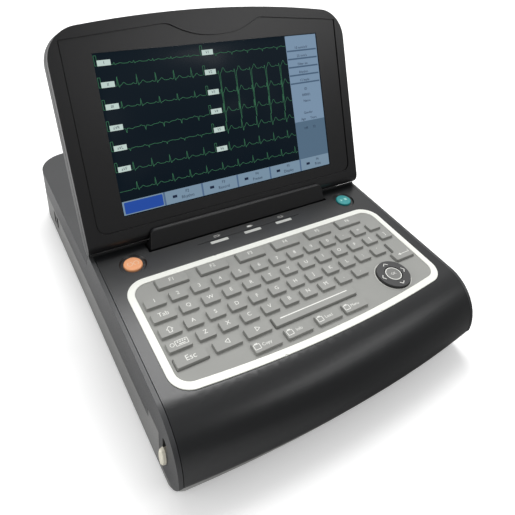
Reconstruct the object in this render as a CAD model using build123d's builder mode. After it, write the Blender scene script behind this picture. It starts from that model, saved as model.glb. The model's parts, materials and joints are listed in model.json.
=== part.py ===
from build123d import *
from math import cos, radians, sin
import os

# Portable electrocardiograph: a display that folds back behind a keyboard deck, and a paper
# printer under the front hood. Millimetres. +X is the operator's right, +Y the rear, +Z up.
# The part is drawn about a point origin_shift in front of its middle, and exported with its
# origin at the middle of its outline, on the table.

origin_shift = 6.5

# Case
case_half_width = 146.0
case_wall = 3.4
foot_height = 3.0
floor_thickness = 3.0
floor_z = foot_height + floor_thickness
parting_z = 35.0
parting_gap = 0.4
rear_top_z = 62.0
rear_top_wall = 2.5
rear_y = 210.0
rear_bow = 4.0
rear_corner = 35.0
front_corner = 11.0
front_joint_y = -160.5
front_tab_back_y = -141.0
front_tab_z = 43.5
lip_front_y = -193.6
lip_bow = 8.5
lip_top_z = 8.8
inner_half_width = case_half_width - case_wall

# Keyboard deck: a plane that rises to the rear, measured from the rear edge of the key trim
deck_tilt = 3.2
deck_y = -50.0
deck_z = 77.8
deck_wall = 2.5
deck_rear = 40.2
door_half_width = 142.2
ledge_front = 41.2
ledge_rear = 43.5
ridge_rear = 42.3
ridge_height = 1.3
step_y = 3.4

# Front hood: a quarter ellipse from the deck down, bowed forward in plan
hood_start = -106.0
hood_depth = 41.0
hood_drop = 44.0
hood_foot = -137.6
hood_foot_z = -60.6
hood_bow = 8.7
hood_bottom_z = 9.4
hood_belly = (4.0, -52.3)  # from the nose, on the curve down to the foot

# Door pivot and printer
door_pivot = (27.0, -3.5)
door_pin_radius = 2.0
running_gap = 0.05
platen_y = -163.0
platen_z = 33.0
platen_radius = 8.0
platen_half_length = 107.0
shaft_radius = 3.0
paper_half_width = 105.0
gear_module = 1.0
platen_teeth = 24
idler_teeth = 20
pinion_teeth = 12
gear_x = 117.0
gear_width = 5.0

# Display
lid_angle = 65.6
lid_half_width = 146.5
lid_half_thickness = 9.5
lid_split = 1.5
lid_top = 183.4
lid_top_bow = 10.7
lid_corner = 29.0
lid_wall = 2.5
lid_bulge = 15.4
screen_width = 224.4
screen_height = 136.6
screen_bottom = 17.1
hinge_on_deck = (47.5, 9.5)
hinge_pin_radius = 3.0
ear_x = 66.0
ear_thickness = 3.0

# Hinge cover
cover_half_length = 97.2
cover_top_half_length = 93.0
cover_top = 16.0
cutout_half_width = 98.0

# Keyboard
trim_half_width = 132.6
trim_width = 6.0
trim_depth = 109.0
trim_bow = 8.5
trim_height = 0.9
mat_top = 0.3
key_height = 2.6
key_pitch = 19.05
key_travel_gap = 0.4

tilt = radians(deck_tilt)
lean = radians(lid_angle)


def deck_to_case(y, z):
    """Case Y and Z of a point given along and above the deck."""
    return deck_y + y * cos(tilt) - z * sin(tilt), deck_z + y * sin(tilt) + z * cos(tilt)


def case_to_deck(y, z):
    """Place along and above the deck of a point given by its case Y and Z."""
    dy, dz = y - deck_y, z - deck_z
    return dy * cos(tilt) + dz * sin(tilt), -dy * sin(tilt) + dz * cos(tilt)


hinge_y, hinge_z = deck_to_case(*hinge_on_deck)
door_pivot_y, door_pivot_z = deck_to_case(*door_pivot)
step_foot, step_foot_z = case_to_deck(step_y, rear_top_z)

deck_plane = Plane(origin=(0, deck_y, deck_z), x_dir=(1, 0, 0), z_dir=(0, -sin(tilt), cos(tilt)))
deck_side = Plane(origin=(0, deck_y, deck_z), x_dir=(0, cos(tilt), sin(tilt)), z_dir=(1, 0, 0))
deck_front = Plane(origin=(0, deck_y, deck_z), x_dir=(1, 0, 0), z_dir=(0, -cos(tilt), -sin(tilt)))
lid_plane = Plane(origin=(0, hinge_y, hinge_z), x_dir=(1, 0, 0), z_dir=(0, -sin(lean), cos(lean)))
lid_side = Plane(origin=(0, hinge_y, hinge_z), x_dir=(0, cos(lean), sin(lean)), z_dir=(1, 0, 0))

# The hood's bow is a revolution about an axis square to the deck, far behind it.
hood_nose = hood_start - hood_depth - hood_bow
bow_radius = (door_half_width**2 + hood_bow**2) / (2 * hood_bow)
bow_centre = deck_plane.from_local_coords((0, hood_nose + bow_radius, 0))
bow_axis = Axis(bow_centre, deck_plane.z_dir)


def case_plan(inset, front_y, front_bow):
    """Plan of the case: rounded corners, and a bowed front with its own smaller corners."""
    half = case_half_width - inset
    rear = rear_y - inset
    front = front_y + inset
    with BuildSketch() as plan:
        with BuildLine():
            Line((-half, front + front_bow), (-half, rear - rear_bow))
            ThreePointArc((-half, rear - rear_bow), (0, rear), (half, rear - rear_bow))
            Line((half, rear - rear_bow), (half, front + front_bow))
            if front_bow > 0:
                ThreePointArc((half, front + front_bow), (0, front), (-half, front + front_bow))
            else:
                Line((half, front), (-half, front))
        make_face()
        if front_bow > 0:
            fillet(plan.vertices().group_by(Axis.Y)[0], front_corner - inset)
        fillet(plan.vertices().group_by(Axis.Y)[-1], rear_corner - inset)
    return plan.sketch


def hood_section(inset, shift, rear, bottom):
    """Side outline of deck and hood, along and above the deck, moved inward by inset."""
    start = hood_start + shift
    nose = start - hood_depth + inset
    foot = hood_foot + shift + inset
    with BuildSketch() as section:
        with BuildLine():
            Line((rear, -inset), (start, -inset))
            EllipticalCenterArc(
                (start, -hood_drop), hood_depth - inset, hood_drop - inset, start_angle=90, arc_size=90,
            )
            ThreePointArc((nose, -hood_drop), (nose + hood_belly[0], hood_belly[1]), (foot, hood_foot_z))
            Polyline((foot, hood_foot_z), (foot, bottom), (rear, bottom), (rear, -inset))
        make_face()
    return section.sketch


def lid_outline(inset, low):
    """Front outline of the display lid, its origin on the hinge axis."""
    half = lid_half_width - inset
    top = lid_top - inset
    shoulder = top - lid_top_bow
    with BuildSketch() as outline:
        with BuildLine():
            Polyline((-half, shoulder), (-half, low), (half, low), (half, shoulder))
            ThreePointArc((half, shoulder), (0, top), (-half, shoulder))
        make_face()
        fillet(outline.vertices().group_by(Axis.Y)[-1], lid_corner - inset)
    return outline.sketch


def lid_end(radius):
    """Side outline of the lid slab: along the lid, and forward; round about the hinge axis."""
    length = lid_top + 20
    with BuildSketch() as side:
        with BuildLine():
            Polyline((0, radius), (length, radius), (length, -radius), (0, -radius))
            ThreePointArc((0, -radius), (-radius, 0), (0, radius))
        make_face()
    return side.sketch


def trim_outline(inset, corner):
    """Outline of the key trim, its rear edge on the deck's datum."""
    half = trim_half_width - inset
    side_front = inset - trim_depth
    with BuildSketch() as outline:
        with BuildLine():
            Polyline((half, side_front), (half, -inset), (-half, -inset), (-half, side_front))
            ThreePointArc((-half, side_front), (0, side_front - trim_bow), (half, side_front))
        make_face()
        fillet(outline.vertices(), corner)
    return outline.sketch


def gear_face(teeth, phase, bore):
    """Spur gear outline with straight-sided teeth; phase is the angle of one tooth's middle."""
    pitch_radius = gear_module * teeth / 2
    tip = pitch_radius + 0.8 * gear_module
    root = pitch_radius - 1.1 * gear_module
    step = 360 / teeth
    with BuildSketch() as face:
        Circle(root)
        with BuildLine():
            Polyline(
                (root - 0.5, -0.26 * step / 57.3 * root),
                (tip, -0.11 * step / 57.3 * tip),
                (tip, 0.11 * step / 57.3 * tip),
                (root - 0.5, 0.26 * step / 57.3 * root),
                close=True,
            )
        tooth = make_face(mode=Mode.PRIVATE)
        with PolarLocations(0, teeth, start_angle=phase):
            add(tooth)
        Circle(bore, mode=Mode.SUBTRACT)
    return face.sketch


# ---------------------------------------------------------------- case

boss_places = [(x, y) for y in (-85.0, 10.0, 110.0) for x in (-138.6, 138.6)]
boss_radius = 4.5
boss_top = 50.0
screw_radius = 1.4
screw_head_radius = 3.0
board_posts = [(-122, 41), (-122, 94), (54, 41), (54, 94), (74, 66), (74, 144), (124, 66), (124, 144)]
board_z = 12.0
speaker_place = (-112.0, 150.0)
battery_centre = (-15.0, 144.0)
battery_size = (140.0, 62.0, 21.0)
battery_opening = (146.0, 68.0)
usb_places = [126.0, 137.0]
usb_z = 24.2
usb_size = (7.0, 14.6)
inlet_centre = (89.0, 19.0)
inlet_size = (26.0, 20.0)
network_centre = (-54.0, 17.5)
network_size = (16.0, 14.0)
stud_centre = (40.0, 19.0)
stud_end = 215.97  # rearmost point of the machine
patient_centre = (62.0, 20.0)
patient_size = (42.0, 15.0)
port_gap = 0.3
latch_y = -170.6
knob_gap = 0.3
knob_reach = 3.2

with BuildPart() as lower_case:
    with BuildSketch(Plane.XY.offset(foot_height)):
        add(case_plan(0, lip_front_y, lip_bow))
    extrude(amount=front_tab_z - foot_height)
    with BuildSketch(Plane.XY.offset(floor_z)):
        add(case_plan(floor_thickness, lip_front_y, lip_bow))
    extrude(amount=front_tab_z, mode=Mode.SUBTRACT)
    # The walls stop behind the front joint, with a raised tab there, and leave only the lip.
    with BuildSketch(Plane.YZ):
        with BuildLine():
            Polyline(
                (-250, lip_top_z),
                (front_joint_y, lip_top_z),
                (front_joint_y, front_tab_z + 1),
                (front_tab_back_y, front_tab_z + 1),
                (front_tab_back_y, parting_z),
                (250, parting_z),
                (250, 90),
                (-250, 90),
                close=True,
            )
        make_face()
    extrude(amount=200, both=True, mode=Mode.SUBTRACT)
    with BuildSketch(Plane.XY.offset(floor_z)):
        with Locations(*boss_places):
            Circle(boss_radius)
    extrude(amount=parting_z - floor_z)
    with BuildSketch(Plane.XY.offset(floor_z)):
        with Locations(*board_posts):
            Circle(3)
    extrude(amount=board_z - floor_z)
    with Locations(*[(x, y, foot_height) for x, y in boss_places]):
        Cylinder(
            screw_head_radius + 0.2, 3.6, align=(Align.CENTER, Align.CENTER, Align.MIN), mode=Mode.SUBTRACT,
        )
        Cylinder(screw_radius + 0.4, 40, align=(Align.CENTER, Align.CENTER, Align.MIN), mode=Mode.SUBTRACT)
    # Battery opening and loudspeaker grille in the floor
    with Locations((*battery_centre, foot_height)):
        Box(*battery_opening, 20, mode=Mode.SUBTRACT)
    with Locations((*speaker_place, foot_height)):
        with GridLocations(5, 5, 5, 5):
            Cylinder(1.2, 20, mode=Mode.SUBTRACT)
    # Sockets
    with Locations(*[(-case_half_width, y, usb_z) for y in usb_places]):
        Box(20, usb_size[0] + 2 * port_gap, usb_size[1] + 2 * port_gap, mode=Mode.SUBTRACT)
    with Locations((case_half_width, *patient_centre)):
        Box(20, patient_size[0] + 2 * port_gap, patient_size[1] + 2 * port_gap, mode=Mode.SUBTRACT)
    with Locations((inlet_centre[0], rear_y, inlet_centre[1])):
        Box(inlet_size[0] + 2 * port_gap, 20, inlet_size[1] + 2 * port_gap, mode=Mode.SUBTRACT)
    with Locations((network_centre[0], rear_y, network_centre[1])):
        Box(network_size[0] + 2 * port_gap, 20, network_size[1] + 2 * port_gap, mode=Mode.SUBTRACT)
    with Locations(Plane((stud_centre[0], rear_y, stud_centre[1]), z_dir=(0, 1, 0))):
        Cylinder(3.2, 20, mode=Mode.SUBTRACT)

with BuildPart() as upper_case:
    with BuildSketch(Plane.XY):
        add(case_plan(0, -215.0, 0))
    extrude(amount=100)
    # Side outline: rear deck, step, keyboard deck, hood edge, then back along the joint
    with BuildSketch(deck_side):
        with BuildLine():
            Polyline(
                case_to_deck(260, parting_z + parting_gap),
                case_to_deck(260, rear_top_z),
                (step_foot, step_foot_z),
                (ledge_rear, 0),
                (ridge_rear, 0),
                (ridge_rear, ridge_height),
                (ledge_front, ridge_height),
                (ledge_front, 0),
                (hood_start, 0),
            )
            EllipticalCenterArc((hood_start, -hood_drop), hood_depth, hood_drop, start_angle=90, arc_size=90)
            ThreePointArc(
                (hood_start - hood_depth, -hood_drop),
                (hood_start - hood_depth + hood_belly[0], hood_belly[1]),
                (hood_foot, hood_foot_z),
            )
            Polyline(
                (hood_foot, hood_foot_z),
                case_to_deck(front_joint_y - parting_gap, deck_to_case(hood_foot, hood_foot_z)[1]),
                case_to_deck(front_joint_y - parting_gap, front_tab_z + parting_gap),
                case_to_deck(front_tab_back_y + parting_gap, front_tab_z + parting_gap),
                case_to_deck(front_tab_back_y + parting_gap, parting_z + parting_gap),
                case_to_deck(260, parting_z + parting_gap),
            )
        make_face()
    extrude(amount=200, both=True, mode=Mode.INTERSECT)
    with Locations((0, -200, hood_bottom_z - 40)):
        Box(400, 100, 80, mode=Mode.SUBTRACT)
    # Hollow under the rear deck, then the open bay that the control deck covers
    with BuildSketch(Plane.XY):
        add(case_plan(case_wall, -230.0, 0))
    extrude(amount=rear_top_z - rear_top_wall, mode=Mode.SUBTRACT)
    with BuildSketch(deck_side):
        with BuildLine():
            Polyline(
                (-250, 20), (ledge_front, 20), (ledge_front, -3), (step_foot - 2.4, -24),
                (step_foot - 2.4, -90), (-250, -90), close=True,
            )
        make_face()
    extrude(amount=inner_half_width, both=True, mode=Mode.SUBTRACT)
    # Screw bosses
    with BuildSketch(Plane.XY.offset(parting_z + parting_gap)):
        with Locations(*boss_places):
            Circle(boss_radius)
    extrude(amount=boss_top - parting_z)
    with Locations(*[(x, y, parting_z) for x, y in boss_places]):
        Cylinder(screw_radius, 13, align=(Align.CENTER, Align.CENTER, Align.MIN), mode=Mode.SUBTRACT)
    # Shelf for the hinge cover and rest for the latch spring
    with BuildSketch(deck_plane.offset(-7.6)):
        with Locations((0, 38.6)):
            Rectangle(2 * cover_half_length, 11)
    extrude(amount=2.5)
    with Locations((-inner_half_width + 3.4, -169.6, 58.2)):
        Box(7.2, 6.8, 2)
    # Pivot holes for the control deck, latch slot
    with BuildSketch(Plane.YZ.offset(-case_half_width + 0.9)):
        with Locations(deck_to_case(*door_pivot)):
            Circle(door_pin_radius + running_gap)
    extrude(amount=2 * (case_half_width - 0.9), mode=Mode.SUBTRACT)
    with BuildSketch(Plane((-case_half_width - 5, latch_y, 35), x_dir=(0, 0, 1), z_dir=(1, 0, 0))):
        SlotOverall(28, 6)
    extrude(amount=12, mode=Mode.SUBTRACT)

with BuildPart() as hinge_cover:
    with BuildSketch(deck_side.offset(-cover_half_length)):
        with BuildLine():
            Polyline(
                (28.5, 0.4), (35.4, 15.2), (36.4, cover_top), (38.6, cover_top), (36.2, 10.0), (36.4, 4.0),
                (40.9, -1.4), (40.9, -5.1), (31.6, -5.1), (31.6, 0.4), close=True,
            )
        make_face()
    extrude(amount=2 * cover_half_length)
    # Its ends lean in and its upper corners are round, seen from the front
    with BuildSketch(deck_front.offset(-60)) as cover_front:
        with BuildLine():
            Polyline(
                (-cover_half_length, -6), (cover_half_length, -6), (cover_top_half_length, cover_top),
                (-cover_top_half_length, cover_top), close=True,
            )
        make_face()
        fillet(cover_front.vertices().group_by(Axis.Y)[-1], 5)
    extrude(amount=50, mode=Mode.INTERSECT)


def hinge_bracket(x):
    """Steel ear that carries a display hinge pin, with its foot on the rear deck."""
    with BuildPart() as bracket:
        with BuildSketch(Plane.YZ.offset(x)):
            with BuildLine():
                Polyline(
                    (-6.4, 84.4), (-5.4, 80.6), (4.4, rear_top_z + 2.5), (4.4, rear_top_z), (16, rear_top_z),
                    (16, rear_top_z + 2), (10, rear_top_z + 3.6), (3.6, 88.0), close=True,
                )
            make_face()
            with Locations((hinge_y, hinge_z)):
                Circle(6.6)
            with Locations((hinge_y, hinge_z)):
                Circle(hinge_pin_radius + running_gap, mode=Mode.SUBTRACT)
        extrude(amount=ear_thickness)
        with Locations((x + ear_thickness / 2, 10.2, rear_top_z + 1)):
            Box(16, 11.6, 2)
        with Locations((x + ear_thickness / 2, 10.2, rear_top_z + 1)):
            with GridLocations(11, 0, 2, 1):
                Cylinder(1.5, 6, mode=Mode.SUBTRACT)
    return bracket.part


with BuildPart() as hinge_bracket_left:
    add(hinge_bracket(-ear_x - ear_thickness))

with BuildPart() as hinge_bracket_right:
    add(hinge_bracket(ear_x))

with BuildPart() as display_rest_pads:
    with BuildSketch(Plane.XY.offset(rear_top_z)):
        with Locations(*[(x, y) for y in (45, 130) for x in (-95, 95)]):
            Circle(6)
    extrude(amount=2.6)
    fillet(display_rest_pads.edges().group_by(Axis.Z)[-1], 1)

with BuildPart() as rubber_feet:
    with BuildSketch(Plane.XY):
        with Locations(*[(x, y) for y in (-160, 160) for x in (-118, 118)]):
            Circle(8)
    extrude(amount=foot_height)
    chamfer(rubber_feet.edges().group_by(Axis.Z)[0], 0.6)

with BuildPart() as case_screws:
    with Locations(*[(x, y, 4.6) for x, y in boss_places]):
        Cylinder(screw_head_radius, 2, align=(Align.CENTER, Align.CENTER, Align.MIN))
        Cylinder(screw_radius, 41, align=(Align.CENTER, Align.CENTER, Align.MIN))
    with Locations(*[(x, y, 4.6) for x, y in boss_places]):
        Box(3.4, 0.7, 1.6, mode=Mode.SUBTRACT)
        Box(0.7, 3.4, 1.6, mode=Mode.SUBTRACT)

# ---------------------------------------------------------------- inside the case

with BuildPart() as battery_cover:
    with Locations((*battery_centre, foot_height)):
        Box(
            battery_opening[0] - 2 * port_gap, battery_opening[1] - 2 * port_gap, floor_thickness,
            align=(Align.CENTER, Align.CENTER, Align.MIN),
        )
    with Locations((battery_centre[0], battery_centre[1] - 26, foot_height)):
        with GridLocations(0, 3, 1, 3):
            Box(30, 1, 1.2, mode=Mode.SUBTRACT)

with BuildPart() as battery_pack:
    with Locations((*battery_centre, floor_z)):
        Box(*battery_size, align=(Align.CENTER, Align.CENTER, Align.MIN))
    fillet(battery_pack.edges().filter_by(Axis.X), 8)
    with Locations((battery_centre[0] + 62, battery_centre[1] - 31, floor_z + 12)):
        Box(12, 6, 7)

with BuildPart() as main_board:
    with Locations((-34, 67.5, board_z)):
        Box(188, 65, 1.6, align=(Align.CENTER, Align.CENTER, Align.MIN))
    with Locations((-34, 67.5, board_z + 1.6)):
        with Locations((-60, 8), (-30, -14)):
            Box(24, 24, 2.4, align=(Align.CENTER, Align.CENTER, Align.MIN))
        with Locations((0, 12), (22, 12), (44, 12)):
            Box(14, 9, 1.6, align=(Align.CENTER, Align.CENTER, Align.MIN))
        with Locations((20, -18), (60, -18)):
            Box(32, 7, 9, align=(Align.CENTER, Align.CENTER, Align.MIN))
        with Locations((72, 16), (72, 2)):
            Cylinder(4, 11, align=(Align.CENTER, Align.CENTER, Align.MIN))

with BuildPart() as power_supply:
    with Locations((99, 105, board_z)):
        Box(62, 90, 1.6, align=(Align.CENTER, Align.CENTER, Align.MIN))
    with Locations((99, 105, board_z + 1.6)):
        with Locations((-8, -12)):
            Box(30, 34, 25, align=(Align.CENTER, Align.CENTER, Align.MIN))
        with Locations((16, 22), (-4, 24)):
            Cylinder(8, 24, align=(Align.CENTER, Align.CENTER, Align.MIN))
        with Locations((22, -16)):
            Box(3, 40, 24, align=(Align.CENTER, Align.CENTER, Align.MIN))

with BuildPart() as loudspeaker:
    with Locations((*speaker_place, floor_z)):
        Cylinder(20, 3, align=(Align.CENTER, Align.CENTER, Align.MIN))
    with BuildSketch(Plane.XY.offset(floor_z + 3)):
        with Locations(speaker_place):
            Circle(19)
    extrude(amount=5, taper=35)
    with Locations((*speaker_place, floor_z + 8)):
        Cylinder(11, 6, align=(Align.CENTER, Align.CENTER, Align.MIN))

with BuildPart() as mains_inlet:
    with Locations((inlet_centre[0], rear_y - 14, inlet_centre[1])):
        Box(inlet_size[0], 24, inlet_size[1])
    with Locations((inlet_centre[0], rear_y - 7, inlet_centre[1])):
        Box(inlet_size[0] - 4, 14, inlet_size[1] - 5, mode=Mode.SUBTRACT)
    with Locations((inlet_centre[0], rear_y - 10, inlet_centre[1])):
        with Locations((-7, 0, -1), (0, 0, 3), (7, 0, -1)):
            Box(2, 10, 4)

with BuildPart() as network_socket:
    with Locations((network_centre[0], rear_y - 10, network_centre[1])):
        Box(network_size[0], 18, network_size[1])
    with Locations((network_centre[0], rear_y - 7, network_centre[1])):
        Box(network_size[0] - 3, 14, network_size[1] - 4, mode=Mode.SUBTRACT)

with BuildPart() as earth_stud:
    with BuildSketch(Plane((stud_centre[0], rear_y - 14, stud_centre[1]), z_dir=(0, 1, 0))):
        Circle(3)
    extrude(amount=stud_end - rear_y + 14)
    with BuildSketch(Plane((stud_centre[0], rear_y + 0.2, stud_centre[1]), z_dir=(0, 1, 0))):
        RegularPolygon(5, 6)
    extrude(amount=3)

with BuildPart() as usb_sockets:
    with Locations(*[(-137, y, usb_z) for y in usb_places]):
        Box(18, *usb_size)
    with Locations(*[(-139, y, usb_z) for y in usb_places]):
        Box(15, usb_size[0] - 1.2, usb_size[1] - 1.2, mode=Mode.SUBTRACT)
    with Locations(*[(-137, y + 1, usb_z) for y in usb_places]):
        Box(14, 1.8, usb_size[1] - 3)

with BuildPart() as patient_socket:
    with Locations((140, *patient_centre)):
        Box(15, *patient_size)
    with Locations((case_half_width + knob_reach - 5, *patient_centre)):
        Box(10, patient_size[0] - 14, patient_size[1] - 4)
    with Locations((case_half_width + knob_reach - 5, *patient_centre)):
        Box(10, patient_size[0] - 16, patient_size[1] - 6, mode=Mode.SUBTRACT)
    with Locations((143, *patient_centre)):
        Box(10, patient_size[0] - 19, patient_size[1] - 9)
    with BuildSketch(Plane.YZ.offset(case_half_width)):
        with Locations(patient_centre):
            with GridLocations(patient_size[0] - 8, 0, 2, 1):
                Circle(2.6)
    extrude(amount=knob_reach)

# ---------------------------------------------------------------- printer

idler_angle = -18.0
pinion_angle = 0.0
idler_distance = gear_module * (platen_teeth + idler_teeth) / 2
pinion_distance = gear_module * (idler_teeth + pinion_teeth) / 2
idler_y = platen_y + idler_distance * cos(radians(idler_angle))
idler_z = platen_z + idler_distance * sin(radians(idler_angle))
pinion_y = idler_y + pinion_distance * cos(radians(pinion_angle))
pinion_z = idler_z + pinion_distance * sin(radians(pinion_angle))
frame_plate_x = 114.0
frame_sheet = 2.0
motor_plate_x = 122.8
motor_plate = 1.5
motor_radius = 17.0
motor_shaft = 2.5
bush_radius = 5.0
axle_radius = 2.5
latch_pivot = (-170.0, 16.0)
latch_pin_radius = 1.5

# A tooth of the platen gear points at the idler, where the idler has a gap; the pinion's
# teeth are turned to match where the idler's teeth then stand.
idler_step = 360 / idler_teeth
idler_phase = idler_angle + 180 + idler_step / 2
idler_lag = (pinion_angle - idler_phase) % idler_step
pinion_phase = pinion_angle + 180 + idler_lag * idler_teeth / pinion_teeth + 180 / pinion_teeth


def shaft_plane(x, y, z):
    """Plane square to the printer's shafts."""
    return Plane((x, y, z), x_dir=(0, 1, 0), z_dir=(1, 0, 0))


with BuildPart() as platen_shaft:
    with BuildSketch(shaft_plane(-118, platen_y, platen_z)):
        Circle(shaft_radius)
    extrude(amount=118 + gear_x + gear_width)

with BuildPart() as platen_roller:
    with BuildSketch(shaft_plane(-platen_half_length, platen_y, platen_z)):
        Circle(platen_radius)
        Circle(shaft_radius, mode=Mode.SUBTRACT)
    extrude(amount=2 * platen_half_length)

with BuildPart() as platen_gear:
    with BuildSketch(shaft_plane(gear_x, platen_y, platen_z)):
        add(gear_face(platen_teeth, idler_angle, shaft_radius))
    extrude(amount=gear_width)

with BuildPart() as idler_gear:
    with BuildSketch(shaft_plane(gear_x, idler_y, idler_z)):
        add(gear_face(idler_teeth, idler_phase, axle_radius + running_gap))
    extrude(amount=gear_width)

with BuildPart() as motor_pinion:
    with BuildSketch(shaft_plane(gear_x, pinion_y, pinion_z)):
        add(gear_face(pinion_teeth, pinion_phase, 1))
        Circle(motor_shaft)
    extrude(amount=gear_width)
    with BuildSketch(shaft_plane(gear_x, pinion_y, pinion_z)):
        Circle(motor_shaft)
    extrude(amount=14)

with BuildPart() as stepper_motor:
    with BuildSketch(shaft_plane(motor_plate_x + motor_plate, pinion_y, pinion_z)):
        Circle(motor_radius)
        Circle(motor_shaft + running_gap, mode=Mode.SUBTRACT)
    extrude(amount=16)
    with BuildSketch(shaft_plane(motor_plate_x + motor_plate + 10, pinion_y, pinion_z)):
        Circle(motor_radius - 1)
    extrude(amount=6)

with BuildPart() as platen_bushes:
    with BuildSketch(
        shaft_plane(-frame_plate_x - 2.4, platen_y, platen_z),
        shaft_plane(frame_plate_x - 0.4, platen_y, platen_z),
    ):
        Circle(bush_radius)
        Circle(shaft_radius + running_gap, mode=Mode.SUBTRACT)
    extrude(amount=2.8)

with BuildPart() as printer_frame:
    with Locations((4.15, -159, floor_z)):
        Box(240.3, 38, 1.5, align=(Align.CENTER, Align.CENTER, Align.MIN))
    with Locations((119.15, -134, floor_z)):
        Box(10.3, 56, 1.5, align=(Align.CENTER, Align.CENTER, Align.MIN))
    with Locations((-frame_plate_x - 1, -160.5, floor_z), (frame_plate_x + 1, -160.5, floor_z)):
        Box(frame_sheet, 31, 42, align=(Align.CENTER, Align.CENTER, Align.MIN))
    with Locations((motor_plate_x + motor_plate / 2, -127, floor_z)):
        Box(motor_plate, 42, 40, align=(Align.CENTER, Align.CENTER, Align.MIN))
    with BuildSketch(shaft_plane(-frame_plate_x - 3, platen_y, platen_z)):
        Circle(bush_radius)
    extrude(amount=2 * frame_plate_x + 6, mode=Mode.SUBTRACT)
    with BuildSketch(shaft_plane(frame_plate_x + 1, idler_y, idler_z)):
        Circle(axle_radius)
    extrude(amount=motor_plate_x - frame_plate_x)
    with BuildSketch(shaft_plane(motor_plate_x - 0.1, pinion_y, pinion_z)):
        Circle(motor_shaft + 1)
    extrude(amount=motor_plate + 0.2, mode=Mode.SUBTRACT)
    with BuildSketch(shaft_plane(-136, *latch_pivot)):
        Circle(latch_pin_radius)
    extrude(amount=21)

# The folded pack lies flat under the keyboard; its top sheet runs over the platen to the slot.
pack_top = 27.0
sheet_thickness = 0.15
sheet_radius = platen_radius + 0.3
with BuildPart() as paper_pack:
    with Locations((0, -54, floor_z)):
        Box(2 * paper_half_width, 148, pack_top - floor_z, align=(Align.CENTER, Align.CENTER, Align.MIN))
    with BuildSketch(Plane.YZ):
        with BuildLine():
            over = ThreePointArc(
                (platen_y + sheet_radius * sin(radians(22)), platen_z + sheet_radius * cos(radians(22))),
                (platen_y - sheet_radius * sin(radians(40)), platen_z + sheet_radius * cos(radians(40))),
                (platen_y - sheet_radius, platen_z),
            )
            Polyline((-126, pack_top - 0.2), (-129, pack_top + 0.8), over @ 0)
            Line(over @ 1, (-183, 9.5))
        trace(line_width=sheet_thickness)
    extrude(amount=paper_half_width, both=True)

# ---------------------------------------------------------------- latch

with BuildPart() as latch_knob:
    with BuildSketch(Plane((-case_half_width - knob_gap, latch_y, 31), x_dir=(0, 0, 1), z_dir=(-1, 0, 0))):
        Ellipse(8.8, 4.6)
    extrude(amount=knob_reach - knob_gap, taper=14)
    chamfer(latch_knob.edges().group_by(Axis.X)[0], 0.9)
    with Locations((-144, latch_y, 31)):
        Box(4.6, 4.8, 12)

with BuildPart() as latch_link:
    with Locations((-140.8, latch_y, 25)):
        Box(1.8, 9, 30)
    with Locations((-140.8, -174.05, 12.5)):
        Box(1.8, 15.9, 3)
    with Locations((-139, -169.6, 39.2)):
        Box(5, 6, 1.6)
    with BuildSketch(shaft_plane(-141, -181, 12)):
        Circle(latch_pin_radius)
    extrude(amount=10.4)

with BuildPart() as latch_hook:
    with BuildSketch(shaft_plane(-134, *latch_pivot)):
        Circle(4)
        with Locations((0, 9)):
            Rectangle(5, 18)
        with BuildLine():
            Polyline((2.5, 18), (2.5, 15.2), (-9, 15.2), (-9, 16.6), (-5, 18), close=True)
        make_face()
        with Locations((-7.5, 0)):
            Rectangle(15, 4)
        Circle(latch_pin_radius + running_gap, mode=Mode.SUBTRACT)
    extrude(amount=3)

with BuildPart() as latch_spring:
    with BuildLine():
        coil = Helix(pitch=2.6, height=16.4, radius=1.7, center=(-138.6, -169.6, 40.4))
    with BuildSketch(Plane(coil @ 0, z_dir=coil % 0)):
        Circle(0.35)
    sweep()

# ---------------------------------------------------------------- control deck, which is the paper door

button_places = [(-115.5, 19.5), (115.5, 19.5)]
button_radius = 8.0
button_well = 10.4
well_depth = 1.4
well_flare = 38
light_places = [(-35.0, 15.9), (0.5, 15.9), (36.0, 15.9)]
light_size = (18.0, 3.2)
opening_inset = 4.0
mat_gap = 0.3
board_thickness = 1.6
head_deck_y, head_deck_z = case_to_deck(platen_y, platen_z)
head_bottom = head_deck_z + platen_radius + 0.62
head_top = head_bottom + 6
carrier_z = head_top + 3.8

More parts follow.
